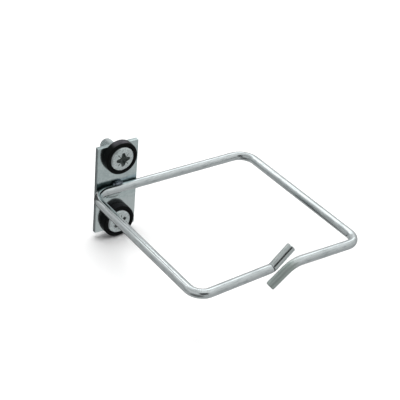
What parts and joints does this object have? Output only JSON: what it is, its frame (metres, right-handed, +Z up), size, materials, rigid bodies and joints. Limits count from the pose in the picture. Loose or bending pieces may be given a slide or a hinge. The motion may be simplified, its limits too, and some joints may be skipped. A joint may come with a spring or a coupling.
{
  "type": "rack cable ring",
  "caption": "Square open ring of round wire welded level across a small upright plate, with machine screws in cup washers for a rack post.",
  "frame": {"origin": "centre of the plate's back face, midway between the two screws", "axes": "+X along the plate towards the ring's long side, -Y out of the plate's front towards the ring's mouth, +Y into the rack post, +Z up"},
  "size_m": [0.085, 0.0953, 0.047],
  "materials": {
    "plate_zinc": "galvanised sheet, satin",
    "wire_zinc": "bright zinc plate",
    "weld_metal": "zinc over weld metal",
    "screw_steel": "bright plated steel",
    "cup_black": "moulded black nylon"
  },
  "bodies": {
    "root": {"mounting_plate": "plate_zinc", "cable_ring": "wire_zinc", "upper_weld": "weld_metal", "lower_weld": "weld_metal", "upper_screw": "screw_steel", "lower_screw": "screw_steel", "upper_cup_washer": "cup_black", "lower_cup_washer": "cup_black"}
  },
  "joints": []
}
